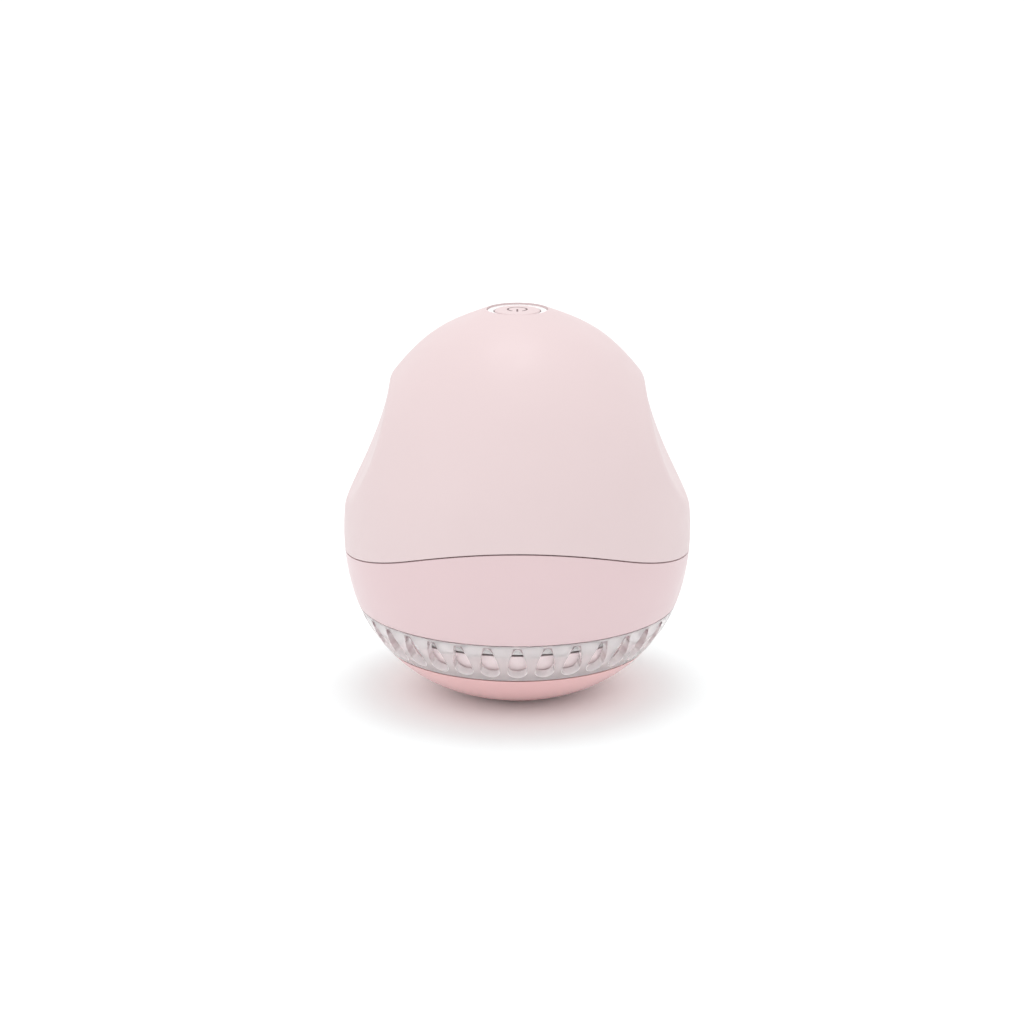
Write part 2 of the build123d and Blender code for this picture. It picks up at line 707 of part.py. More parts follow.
with BuildPart() as commutator:
    with BuildSketch(Plane.XY.offset(CAN_LOW_Z + 20.4)):
        Circle(3.2)
        Circle(SHAFT_R, mode=Mode.SUBTRACT)
        with PolarLocations(2.7, 3):
            Rectangle(1.2, 0.4, mode=Mode.SUBTRACT)
    extrude(amount=4.5)
finish(commutator, "commutator")

with BuildPart() as blade_carrier:
    with BuildSketch(Plane.XY.offset(HUB_LOW_Z)):
        Circle(HUB_R)
    extrude(amount=HUB_TOP_Z - HUB_LOW_Z)
    with BuildSketch(Plane.XY.offset(ARM_LOW_Z)):
        with PolarLocations(0, BLADE_COUNT):
            with Locations((BLADE_R / 2, 0)):
                Rectangle(BLADE_R, ARM_W)
        Circle(BLADE_R - 1.8)
        Circle(BLADE_R - 4.0, mode=Mode.SUBTRACT)
        with PolarLocations(0, BLADE_COUNT):
            with Locations((BLADE_R / 2, 0)):
                Rectangle(BLADE_R - 1, ARM_W)
        Circle(BLADE_R, mode=Mode.INTERSECT)
    extrude(amount=ARM_T)
    with BuildSketch(Plane.XY.offset(CUTTER_LOW_Z)):
        add(blade_slots())
    extrude(amount=BLADE_TOP_Z - CUTTER_LOW_Z, mode=Mode.SUBTRACT)
    with BuildSketch(Plane.XY.offset(SHAFT_LOW_Z)):
        Circle(SHAFT_R)
    extrude(amount=5, mode=Mode.SUBTRACT)
finish(blade_carrier, "blade_carrier")

with BuildPart() as cutter_blades:
    with BuildSketch(Plane.XY.offset(CUTTER_LOW_Z)):
        add(blade_slots())
    extrude(amount=BLADE_TOP_Z - CUTTER_LOW_Z)
finish(cutter_blades, "cutter_blades")

# ---------------------------------------------------------------- motor unit: battery and boards

HOLDER_PLATE_Z = 52.0
HOLDER_T = 1.4
LEG_X = 11.0
LEG_Y = 19.0
LEG_W = 3.6
END_WALL_Y = CELL_L / 2 + 0.4
END_WALL_T = 1.4
SIDE_CLIP_X = CELL_R + 0.2

with BuildPart() as battery_holder:
    with BuildSketch(Plane.XY.offset(HOLDER_PLATE_Z)):
        RectangleRounded(2 * LEG_X + LEG_W, 2 * (END_WALL_Y + END_WALL_T), 2)
        Rectangle(8, 30, mode=Mode.SUBTRACT)
    extrude(amount=HOLDER_T)
    with BuildSketch(Plane.XY.offset(PLATE_TOP_Z)):
        with GridLocations(2 * LEG_X, 2 * LEG_Y, 2, 2):
            Rectangle(LEG_W, LEG_W)
    extrude(amount=HOLDER_PLATE_Z - PLATE_TOP_Z)
    # end walls and side clips
    with BuildSketch(Plane.XY.offset(HOLDER_PLATE_Z + HOLDER_T)):
        with GridLocations(0, 2 * END_WALL_Y + END_WALL_T, 1, 2):
            Rectangle(14, END_WALL_T)
    extrude(amount=8)
    with BuildSketch(Plane.XY.offset(HOLDER_PLATE_Z + HOLDER_T)):
        with GridLocations(2 * SIDE_CLIP_X + 1.4, 30, 2, 2):
            Rectangle(1.4, 8)
    extrude(amount=9)
finish(battery_holder, "battery_holder")

with BuildPart() as battery_cell:
    with BuildSketch(Plane.XZ.offset(-CELL_L / 2)):
        with Locations((0, CELL_Z)):
            Circle(CELL_R)
    extrude(amount=CELL_L)
    fillet(edges(), 0.6)
finish(battery_cell, "battery_cell")

TAB_T = 0.3
TAB_TOP_Z = 66.0

with BuildPart() as battery_tabs:
    with BuildSketch(Plane.XY.offset(CELL_Z - 3)):
        with GridLocations(0, CELL_L + TAB_T, 1, 2):
            Rectangle(5, TAB_T)
    extrude(amount=TAB_TOP_Z - CELL_Z + 3)
finish(battery_tabs, "battery_tabs")

with BuildPart() as main_board:
    with BuildSketch(Plane.XY.offset(BOARD_Z)):
        Circle(BOARD_R)
        with GridLocations(2 * POST_XY, 2 * POST_XY, 2, 2):
            Circle(SCREW_R + 0.1, mode=Mode.SUBTRACT)
    extrude(amount=BOARD_T)
finish(main_board, "main_board")

BOARD_TOP_Z = BOARD_Z + BOARD_T
SWITCH_W = 6.0

with BuildPart() as tact_switch:
    with BuildSketch(Plane.XY.offset(BOARD_TOP_Z)):
        RectangleRounded(SWITCH_W, SWITCH_W, 0.5)
    extrude(amount=SWITCH_TOP_Z - BOARD_TOP_Z)
    with BuildSketch(Plane.XY.offset(PLUNGER_LOW_Z - BUTTON_TRAVEL - 0.3)):
        Circle(PLUNGER_R + 0.1)
    extrude(amount=4, mode=Mode.SUBTRACT)
finish(tact_switch, "tact_switch")

with BuildPart() as ring_leds:
    with BuildSketch(Plane.XY.offset(BOARD_TOP_Z)):
        with PolarLocations((LIGHT_R + LIGHT_BORE_R) / 2, 4, 0):
            Rectangle(1.2, 2.0)
    extrude(amount=0.8)
finish(ring_leds, "ring_leds")

with BuildPart() as board_chips:
    with BuildSketch(Plane.XY.offset(BOARD_TOP_Z)):
        with Locations((11.5, 0), (-11.5, 2)):
            Rectangle(5, 4)
        with Locations((0, 12.5)):
            Rectangle(6, 3.2)
    extrude(amount=1.1)
finish(board_chips, "board_chips")

SOCKET_BOARD_L = 11.0

with BuildPart() as socket_board:
    with BuildSketch(Plane.XY.offset(SOCKET_BOARD_Z)):
        with Locations((0, 22 + SOCKET_BOARD_L / 2)):
            Rectangle(14, SOCKET_BOARD_L)
        with Locations((SOCKET_POST_X, SOCKET_POST_Y), (-SOCKET_POST_X, SOCKET_POST_Y)):
            Circle(0.9, mode=Mode.SUBTRACT)
    extrude(amount=SOCKET_BOARD_T)
finish(socket_board, "socket_board")

SOCKET_W = 8.9
SOCKET_H = 3.2
SOCKET_BACK_Y = 27.4
SOCKET_MOUTH_Y = 34.7

with BuildPart() as charging_socket:
    with BuildSketch(Plane.XZ.offset(-SOCKET_MOUTH_Y)):
        with Locations((0, SOCKET_Z)):
            SlotOverall(SOCKET_W, SOCKET_H)
    extrude(amount=SOCKET_MOUTH_Y - SOCKET_BACK_Y)
    with BuildSketch(Plane.XZ.offset(-SOCKET_MOUTH_Y)):
        with Locations((0, SOCKET_Z)):
            SlotOverall(SOCKET_W - 0.6, SOCKET_H - 0.6)
    extrude(amount=5.6, mode=Mode.SUBTRACT)
    # contact tongue
    with BuildSketch(Plane.XZ.offset(-SOCKET_MOUTH_Y + 0.9)):
        with Locations((0, SOCKET_Z)):
            Rectangle(6.7, 0.7)
    extrude(amount=5.5)
finish(charging_socket, "charging_socket")

# ---------------------------------------------------------------- internal leads

LEAD_R = 0.6


def lead(name, points, bend_r=1.8):
    """Insulated wire along straight runs with round bends."""
    with BuildPart() as wire:
        with BuildLine() as path:
            FilletPolyline(*points, radius=bend_r)
        with BuildSketch(Plane(origin=path.line @ 0, z_dir=path.line % 0)):
            Circle(LEAD_R)
        sweep()
    finish(wire, name)


MOTOR_LEAD_Z = END_BELL_TOP_Z + 2.6
MOTOR_LEAD_X = 16.0
BATTERY_LEAD_Y = CELL_L / 2 + TAB_T + LEAD_R
BATTERY_LEAD_Z = CELL_Z + CELL_R + LEAD_R + 0.15

for name, side in (("motor_lead_positive", 1), ("motor_lead_negative", -1)):
    lead(name, [
        (side * (TERMINAL_X + 0.25), 0, MOTOR_LEAD_Z),
        (side * MOTOR_LEAD_X, 0, MOTOR_LEAD_Z),
        (side * MOTOR_LEAD_X, 0, BOARD_Z),
    ])

for name, side in (("battery_lead_positive", 1), ("battery_lead_negative", -1)):
    lead(name, [
        (0, side * BATTERY_LEAD_Y, TAB_TOP_Z - 2),
        (0, side * BATTERY_LEAD_Y, BATTERY_LEAD_Z),
        (0, side * 15, BATTERY_LEAD_Z),
        (0, side * 15, BOARD_Z),
    ], bend_r=0.65)

lead("charging_lead", [
    (0, SOCKET_POST_Y, SOCKET_BOARD_Z + SOCKET_BOARD_T),
    (0, SOCKET_POST_Y, MOTOR_LEAD_Z - 0.1),
    (-15, 8, MOTOR_LEAD_Z - 0.1),
    (-15, 8, BOARD_Z),
], bend_r=1.0)
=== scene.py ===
"""Finishes, fine foil and studio for an egg-shaped fabric shaver that stands on its cap."""

import math

import bpy
from bpy.props import FloatProperty, FloatVectorProperty, IntProperty, PointerProperty
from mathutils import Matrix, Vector


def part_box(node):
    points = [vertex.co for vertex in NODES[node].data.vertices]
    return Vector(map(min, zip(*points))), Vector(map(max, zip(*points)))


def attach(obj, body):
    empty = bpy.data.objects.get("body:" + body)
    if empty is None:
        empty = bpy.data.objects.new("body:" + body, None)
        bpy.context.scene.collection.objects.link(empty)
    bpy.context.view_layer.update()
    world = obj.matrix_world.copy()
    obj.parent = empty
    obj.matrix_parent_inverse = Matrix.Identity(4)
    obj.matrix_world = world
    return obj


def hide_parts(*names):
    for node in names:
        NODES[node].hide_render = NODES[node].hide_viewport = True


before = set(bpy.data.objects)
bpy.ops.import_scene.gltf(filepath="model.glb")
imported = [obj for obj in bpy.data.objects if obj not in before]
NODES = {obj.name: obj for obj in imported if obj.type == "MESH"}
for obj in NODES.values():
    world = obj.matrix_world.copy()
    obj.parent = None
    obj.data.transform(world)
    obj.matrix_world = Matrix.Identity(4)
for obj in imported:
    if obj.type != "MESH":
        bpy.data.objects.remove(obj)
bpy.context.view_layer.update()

bl_info = {
    "name": "Fabric Shaver Finishes",
    "version": (1, 0, 0),
    "blender": (4, 5, 0),
    "location": "3D View > Sidebar > Fabric Shaver",
    "description": "Moulded, metal and clear finishes, a fine shaving foil and a soft studio",
    "category": "Object",
}

MM = 0.001
FOIL_LOW, FOIL_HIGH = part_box("shaving_foil")
WINDOW_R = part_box("cutter_blades")[1].x + 0.6 * MM
OPENINGS = 34                   # teardrop openings round the comb ring
OPENING_LOW = 12.1 * MM         # height of their round ends and of their tips
OPENING_HIGH = 19.9 * MM
OPENING_LOW_OUT = 30.19 * MM    # how far out the round ends are
OPENING_R = 2.0 * MM            # radius of the round ends
WALL_OUT, WALL_UP = 0.515, 0.857    # slope of the comb wall, outwards and upwards
CUP_LOW = 17.2 * MM             # the lint cup is behind the comb above this height


# ---------------------------------------------------------------- settings


def colour_setting(name, description, default):
    """A colour that the user can change."""
    return FloatVectorProperty(
        name=name, description=description, default=default, size=3, min=0, max=1, subtype="COLOR"
    )


def share_setting(name, description, default):
    """A number from 0 to 1 that the user can change."""
    return FloatProperty(
        name=name, description=description, default=default, min=0, max=1, subtype="FACTOR"
    )


def length_setting(name, description, default):
    """A length in metres that the user can change."""
    return FloatProperty(
        name=name, description=description, default=default, min=0, precision=5, unit="LENGTH"
    )


class ShaverPlastics(bpy.types.PropertyGroup):
    """Colours and gloss of the moulded parts."""

    shell: colour_setting("Upper shell", "Soft-touch pink of the casing", (0.665, 0.535, 0.54))
    bowl: colour_setting("Lower shell", "Satin pink of the lint bowl", (0.665, 0.50, 0.515))
    cap: colour_setting("Cap", "Glossy pink of the protective cap", (0.80, 0.485, 0.485))
    clear: colour_setting("Comb ring", "Tint of the clear ring", (0.99, 0.92, 0.925))
    holder: colour_setting("Foil holder", "Blush plastic behind the comb", (0.93, 0.80, 0.81))
    milky: colour_setting("Milky parts", "Lint cup and light ring", (0.96, 0.935, 0.935))
    white: colour_setting("White parts", "Chassis, housing and blade carrier", (0.80, 0.78, 0.77))
    symbol: colour_setting("Symbol", "Printed mark of the button", (0.14, 0.07, 0.075))
    shell_roughness: share_setting("Shell roughness", "Soft-touch coating", 0.47)
    bowl_roughness: share_setting("Bowl roughness", "Satin moulding", 0.33)
    cap_roughness: share_setting("Cap roughness", "Polished moulding", 0.16)


class ShaverFoil(bpy.types.PropertyGroup):
    """Sizes of the perforated foil."""

    pitch: length_setting("Pitch", "Distance between holes in a row", 1.15 * MM)
    hole: length_setting("Hole", "Radius of each hole", 0.37 * MM)
    sheet: length_setting("Sheet", "Thickness of the perforated sheet", 0.12 * MM)
    rim_sides: IntProperty(name="Rim sides", description="Sides of the round rim", default=128)


class ShaverStage(bpy.types.PropertyGroup):
    """Camera, floor and lights."""

    camera_place: FloatVectorProperty(
        name="Camera", description="Place of the camera", subtype="TRANSLATION", unit="LENGTH",
        default=(-0.00114, -0.6047, 0.21109),
    )
    camera_tilt: FloatProperty(
        name="Tilt", description="Angle of the camera below the horizon", subtype="ANGLE",
        default=math.radians(15.79),
    )
    lens: FloatProperty(name="Lens", description="Focal length in millimetres", default=100.6)
    floor_radius: length_setting("Floor", "Radius of the round floor", 6.0)
    sky: FloatProperty(name="Sky", description="Strength of the even white light", default=1.12)
    top_power: FloatProperty(
        name="Top light", description="Power of the soft light overhead", default=1.0, unit="POWER"
    )
    side_power: FloatProperty(
        name="Side light", description="Power of the soft light on the left", default=0.5,
        unit="POWER",
    )


# ---------------------------------------------------------------- materials


def add_node(tree, kind, feeds=None, **settings):
    """Adds a shader node, sets it up, and feeds its sockets with values or with other outputs."""
    made = tree.nodes.new("ShaderNode" + kind)
    for name, value in settings.items():
        setattr(made, name, value)
    for socket, value in (feeds or {}).items():
        if isinstance(value, bpy.types.NodeSocket):
            tree.links.new(value, made.inputs[socket])
        else:
            made.inputs[socket].default_value = value
    return made


def plain_material(name, roughness, **constants):
    """A material with one Principled shader. Returns the material, its tree and the shader."""
    material = bpy.data.materials.new(name)
    material.use_nodes = True
    tree = material.node_tree
    tree.nodes.clear()
    shader = add_node(tree, "BsdfPrincipled", {"Roughness": roughness})
    for socket, value in constants.items():
        shader.inputs[socket.replace("_", " ")].default_value = value
    add_node(tree, "OutputMaterial", {"Surface": shader.outputs[0]})
    return material, tree, shader


def speckle(tree, size, detail=2.0, stretch=(1, 1, 1)):
    """Noise with blotches size metres across, drawn out by stretch."""
    place = add_node(tree, "TexCoord").outputs["Object"]
    scale = [1 / (size * factor) for factor in stretch]
    drawn = add_node(tree, "Mapping", {"Vector": place, "Scale": scale})
    noise = add_node(
        tree, "TexNoise", {"Vector": drawn.outputs[0], "Scale": 1.0, "Detail": detail}
    )
    return noise.outputs[0]


def spread(tree, value, low, high, start=0.3, end=0.7):
    """Takes a value from start..end to low..high."""
    feeds = {"Value": value, "From Min": start, "From Max": end, "To Min": low, "To Max": high}
    return add_node(tree, "MapRange", feeds).outputs[0]


def blend_colours(tree, share, first, second):
    """Mixes two colours by a share."""
    mix = add_node(tree, "Mix", data_type="RGBA")
    for socket, value in ((0, share), (6, first), (7, second)):
        if isinstance(value, bpy.types.NodeSocket):
            tree.links.new(value, mix.inputs[socket])
        else:
            mix.inputs[socket].default_value = (*value, 1) if socket else value
    return mix.outputs[2]


def shade(colour, factor):
    """The colour made lighter or darker."""
    return tuple(min(1.0, channel * factor) for channel in colour)


def relief(tree, height, depth, under=None):
    """Bumps of that depth in metres, on top of those under them."""
    feeds = {"Height": height, "Distance": depth}
    if under is not None:
        feeds["Normal"] = under
    return add_node(tree, "Bump", feeds).outputs[0]


def moulded(name, colour, roughness, tone=0.02, grain=0.35 * MM, depth=0.003 * MM, drift=0.04,
            **constants):
    """Moulded plastic: cloudy tone, grain of the mould's skin and uneven gloss."""
    material, tree, shader = plain_material(name, roughness, **constants)
    cloud = spread(tree, speckle(tree, 14 * MM), 0, 1)
    tinted = blend_colours(tree, cloud, shade(colour, 1 - tone), shade(colour, 1 + tone))
    dots = spread(tree, speckle(tree, grain, 1.0), 0, 1)
    fine = blend_colours(tree, dots, shade(colour, 1 - tone / 2), shade(colour, 1 + tone / 2))
    both = blend_colours(tree, 0.5, tinted, fine)
    tree.links.new(both, shader.inputs["Base Color"])
    gloss = spread(tree, speckle(tree, 5 * MM, 3.0), roughness - drift, roughness + drift)
    tree.links.new(gloss, shader.inputs["Roughness"])
    skin = relief(tree, speckle(tree, grain, 1.0), depth)
    wave = relief(tree, speckle(tree, 9 * MM, 0.0), 6 * depth, skin)
    tree.links.new(wave, shader.inputs["Normal"])
    return material


def metal(name, colour, roughness, size=0.25 * MM, stretch=(1, 1, 1), depth=0.002 * MM,
          **constants):
    """Bare metal: fine working marks drawn out by stretch, and a slight stain."""
    material, tree, shader = plain_material(name, roughness, Metallic=1.0, **constants)
    marks = speckle(tree, size, 4.0, stretch)
    stain = spread(tree, speckle(tree, 4 * MM, 4.0), 0, 1)
    tinted = blend_colours(tree, stain, shade(colour, 0.86), shade(colour, 1.06))
    tree.links.new(tinted, shader.inputs["Base Color"])
    gloss = spread(tree, marks, max(0.04, roughness - 0.1), roughness + 0.12)
    tree.links.new(gloss, shader.inputs["Roughness"])
    tree.links.new(relief(tree, marks, depth), shader.inputs["Normal"])
    return material


def laminated(name, colour, sheet):
    """Stacked sheets along the axis, oiled and dark between."""
    material, tree, shader = plain_material(name, 0.5, Metallic=0.7)
    place = add_node(tree, "TexCoord").outputs["Object"]
    wave_scale = math.pi / 10 / sheet
    wave = add_node(
        tree, "TexWave", {"Vector": place, "Scale": wave_scale}, bands_direction="Z"
    ).outputs["Fac"]
    tinted = blend_colours(tree, wave, shade(colour, 0.45), colour)
    tree.links.new(tinted, shader.inputs["Base Color"])
    gloss = spread(tree, speckle(tree, 2 * MM, 3.0), 0.38, 0.62)
    tree.links.new(gloss, shader.inputs["Roughness"])
    tree.links.new(relief(tree, wave, 0.03 * MM), shader.inputs["Normal"])
    return material


def board_mask(name, colour):
    """Solder mask over copper tracks."""
    material, tree, shader = plain_material(name, 0.35, Coat_Weight=0.4)
    place = add_node(tree, "TexCoord").outputs["Object"]
    tracks = add_node(
        tree, "TexBrick",
        {"Vector": place, "Scale": 1 / (2.6 * MM), "Mortar Size": 0.09, "Mortar Smooth": 0.2},
        offset=0.5, squash=0.7,
    ).outputs["Fac"]
    patch = spread(tree, speckle(tree, 3 * MM), 0, 1, 0.42, 0.58)
    share = add_node(tree, "Math", {0: tracks, 1: patch}, operation="MULTIPLY").outputs[0]
    tinted = blend_colours(tree, share, colour, shade(colour, 1.7))
    tree.links.new(tinted, shader.inputs["Base Color"])
    tree.links.new(spread(tree, share, 0.42, 0.28, 0, 1), shader.inputs["Roughness"])
    tree.links.new(relief(tree, share, 0.035 * MM), shader.inputs["Normal"])
    return material


def compute(tree, operation, first, second=0.0):
    """One sum on two values."""
    return add_node(tree, "Math", {0: first, 1: second}, operation=operation).outputs[0]


def diagonal(tree, first, second):
    """Distance that two sides at a right angle span."""
    squares = [compute(tree, "POWER", side, 2) for side in (first, second)]
    return compute(tree, "SQRT", compute(tree, "ADD", *squares))


def opening_walls(tree):
    """Shares of the cut faces of the comb openings: tip and sides, which get painted shade, and
    round low end, which gets a painted highlight.
    """
    place = add_node(tree, "TexCoord").outputs["Object"]
    x, y, z = add_node(tree, "SeparateXYZ", {0: place}).outputs
    out = diagonal(tree, x, y)
    turn = compute(tree, "ARCTAN2", y, x)
    from_front = compute(tree, "ADD", turn, 5 * math.pi / 2)
    swing = compute(tree, "PINGPONG", from_front, math.pi / OPENINGS)
    across = compute(tree, "MULTIPLY", out, swing)
    flare = compute(tree, "MULTIPLY", compute(tree, "SUBTRACT", out, OPENING_LOW_OUT), WALL_OUT)
    climb = compute(tree, "MULTIPLY", compute(tree, "SUBTRACT", z, OPENING_LOW), WALL_UP)
    along = compute(tree, "ADD", flare, climb)

    half = spread(tree, along, 2.1 * MM, 0.75 * MM, 3.2 * MM, 9.2 * MM)
    beside = compute(tree, "SUBTRACT", compute(tree, "ADD", half, 0.18 * MM), across)
    inside = spread(tree, beside, 0, 1, 0, 0.1 * MM)
    # Tip and side faces of the openings: this share gets painted shade in clear_moulding.
    painted_shade_walls = compute(tree, "MULTIPLY", inside, spread(tree, along, 0, 1, 3.0 * MM, 5.0 * MM))
    below_tip = spread(tree, z, 1, 0, OPENING_HIGH, OPENING_HIGH + 0.2 * MM)

    # Round low end of the openings: this share gets a painted highlight in clear_moulding.
    reach = diagonal(tree, across, compute(tree, "SUBTRACT", along, OPENING_R))
    in_end = spread(tree, reach, 1, 0, OPENING_R + 0.05 * MM, OPENING_R + 0.12 * MM)
    low = compute(tree, "MULTIPLY", in_end, spread(tree, along, 1, 0, 1.8 * MM, 2.6 * MM))
    return compute(tree, "MULTIPLY", painted_shade_walls, below_tip), low


def clear_moulding(name, colour, roughness):
    """Clear moulded plastic, frosted, with painted shade on the tips and sides of the openings, a
    painted highlight on their round low ends, and painted light above the height of the lint cup.
    """
    material, tree, shader = plain_material(name, roughness, IOR=1.3)
    cloud = spread(tree, speckle(tree, 10 * MM), 0, 1)
    tinted = blend_colours(tree, cloud, shade(colour, 0.96), shade(colour, 0.98))
    place = add_node(tree, "TexCoord").outputs["Object"]
    # Painted light: the ring is painted paler above CUP_LOW, where the milky lint cup stands
    # behind the clear wall, and stays darker below.
    height = add_node(tree, "SeparateXYZ", {0: place}).outputs["Z"]
    painted_light_above_cup = spread(tree, height, 0, 1, CUP_LOW - 0.3 * MM, CUP_LOW + 0.3 * MM)
    tinted = blend_colours(tree, painted_light_above_cup, tinted, (1.0, 0.945, 0.95))
    painted_shade_walls, low = opening_walls(tree)
    # Painted shade: the tips and sides of the openings are painted a dark dusky pink.
    tinted = blend_colours(tree, painted_shade_walls, tinted, (0.62, 0.50, 0.52))
    # Painted highlight: the round low ends of the openings are painted near white, and further
    # down they are also made less clear.
    tinted = blend_colours(tree, low, tinted, (1.0, 0.95, 0.955))
    tree.links.new(tinted, shader.inputs["Base Color"])
    clear = spread(tree, low, 0.66, 0.25, 0, 1)
    tree.links.new(clear, shader.inputs["Transmission Weight"])
    haze = spread(tree, speckle(tree, 6 * MM, 4.0), roughness * 0.6, roughness * 1.6)
    tree.links.new(haze, shader.inputs["Roughness"])
    flow = relief(tree, speckle(tree, 7 * MM, 1.0), 0.02 * MM)
    tree.links.new(flow, shader.inputs["Normal"])
    return material


def milky_moulding(name, colour, roughness, clear):
    """Cloudy plastic that lets part of the light through."""
    material, tree, shader = plain_material(
        name, roughness, Transmission_Weight=clear, IOR=1.5
    )
    cloud = spread(tree, speckle(tree, 6 * MM, 3.0), 0, 1)
    tinted = blend_colours(tree, cloud, shade(colour, 0.96), shade(colour, 1.02))
    tree.links.new(tinted, shader.inputs["Base Color"])
    haze = spread(tree, speckle(tree, 2 * MM, 3.0), roughness * 0.8, roughness * 1.2)
    tree.links.new(haze, shader.inputs["Roughness"])
    tree.links.new(relief(tree, speckle(tree, 0.5 * MM, 1.0), 0.003 * MM), shader.inputs["Normal"])
    return material


def sleeve(name, colour, band_colour):
    """Shrink sleeve of the cell: glossy film with a pale band near one end."""
    material, tree, shader = plain_material(name, 0.28, Coat_Weight=0.5, Coat_Roughness=0.15)
    place = add_node(tree, "TexCoord").outputs["Object"]
    along = add_node(tree, "SeparateXYZ", {0: place}).outputs["Y"]
    band = spread(tree, along, 0, 1, 18.2 * MM, 18.4 * MM)
    film = spread(tree, speckle(tree, 3 * MM, 2.0), 0, 1)
    tinted = blend_colours(tree, film, shade(colour, 0.9), shade(colour, 1.1))
    tree.links.new(blend_colours(tree, band, tinted, band_colour), shader.inputs["Base Color"])
    tree.links.new(spread(tree, film, 0.22, 0.36, 0, 1), shader.inputs["Roughness"])
    wrinkles = speckle(tree, 1.2 * MM, 2.0, (1, 6, 1))
    tree.links.new(relief(tree, wrinkles, 0.02 * MM), shader.inputs["Normal"])
    return material


def dress(material, *names):
    """Gives CAD nodes their finish."""
    for name in names:
        slots = NODES[name].material_slots
        if not slots:
            raise RuntimeError(f"{name} has no material slot")
        for slot in slots:
            slot.material = material


def settings_of(context):
    """The three groups of settings."""
    scene = context.scene
    return scene.shaver_plastics, scene.shaver_foil, scene.shaver_stage


# ---------------------------------------------------------------- casing


class SHAVER_OT_casing(bpy.types.Operator):
    """Soft-touch upper shell, satin lower shell and polished cap"""

    bl_idname = "shaver.casing"
    bl_label = "Casing"

    def execute(self, context):
        look = settings_of(context)[0]
        soft = moulded(
            "soft_touch_pink", look.shell, look.shell_roughness, tone=0.012, depth=0.004 * MM
        )
        dress(soft, "upper_shell", "button_cap")
        satin = moulded(
            "satin_pink", look.bowl, look.bowl_roughness, tone=0.012, depth=0.002 * MM
        )
        dress(satin, "lower_shell")
        gloss = moulded(
            "polished_pink", look.cap, look.cap_roughness, tone=0.01, depth=0.0008 * MM
        )
        dress(gloss, "cap_shell")
        return {"FINISHED"}


class SHAVER_OT_button(bpy.types.Operator):
    """Milky light ring, printed symbol and switch plunger"""

    bl_idname = "shaver.button"
    bl_label = "Button"

    def execute(self, context):
        look = settings_of(context)[0]
        dress(milky_moulding("milky_light_ring", look.milky, 0.22, 0.1), "light_ring")
        dress(moulded("printed_symbol", look.symbol, 0.5, tone=0.08), "button_symbol")
        dress(moulded("black_plunger", (0.02, 0.02, 0.022), 0.45), "switch_plunger")
        return {"FINISHED"}


# ---------------------------------------------------------------- shaving head


class SHAVER_OT_head(bpy.types.Operator):
    """Clear comb ring, blush foil holder and clamp"""

    bl_idname = "shaver.head"
    bl_label = "Shaving Head"

    def execute(self, context):
        look = settings_of(context)[0]
        dress(clear_moulding("clear_comb", look.clear, 0.07), "comb_ring")
        dress(moulded("blush_holder", look.holder, 0.38, tone=0.02), "foil_holder", "foil_clamp")
        return {"FINISHED"}


def nothing_selected():
    """Leaves edit mode and clears the selection."""
    if bpy.context.object and bpy.context.object.mode != "OBJECT":
        bpy.ops.object.mode_set(mode="OBJECT")
    bpy.ops.object.select_all(action="DESELECT")


def pick(mesh, kind, wanted):
    """Selects only the faces, edges or points of a mesh that are wanted, from object mode."""
    for group in (mesh.polygons, mesh.edges, mesh.vertices):
        group.foreach_set("select", [False] * len(group))
    for item in getattr(mesh, kind):
        item.select = wanted(item)


def apply_modifier(piece, name, kind, **settings):
    """Adds a modifier and applies it."""
    modifier = piece.modifiers.new(name, kind)
    for key, value in settings.items():
        setattr(modifier, key, value)
    bpy.ops.object.modifier_apply(modifier=name)


def foil_cell(pitch, hole, middle):
    """Two hexagons of sheet, each with a round hole, that repeat without a gap."""
    nothing_selected()
    cells = []
    for number in range(2):
        spot = (number * pitch / 2, number * pitch * math.sqrt(3) / 2, middle)
        bpy.ops.mesh.primitive_circle_add(
            vertices=6, radius=pitch / math.sqrt(3), fill_type="NGON", location=spot
        )
        cell = bpy.context.object
        bpy.ops.object.mode_set(mode="EDIT")
        bpy.ops.mesh.select_all(action="SELECT")
        bpy.ops.mesh.subdivide(number_cuts=1)
        bpy.ops.mesh.select_all(action="SELECT")
        bpy.ops.mesh.select_mode(type="FACE")
        bpy.ops.mesh.inset(thickness=0.1 * pitch)
        bpy.ops.transform.tosphere(value=1.0)
        bpy.ops.object.mode_set(mode="OBJECT")
        ring = [v for v in cell.data.vertices if v.co.length < 0.48 * pitch]
        reach = sum(v.co.length for v in ring) / len(ring)
        bpy.ops.object.mode_set(mode="EDIT")
        bpy.ops.transform.resize(value=(hole / reach, hole / reach, 1))
        bpy.ops.mesh.delete(type="FACE")
        bpy.ops.object.mode_set(mode="OBJECT")
        cells.append(cell)
    for cell in cells:
        cell.select_set(True)
    bpy.ops.object.join()
    bpy.ops.object.transform_apply(location=True, rotation=True, scale=True)
    return bpy.context.object


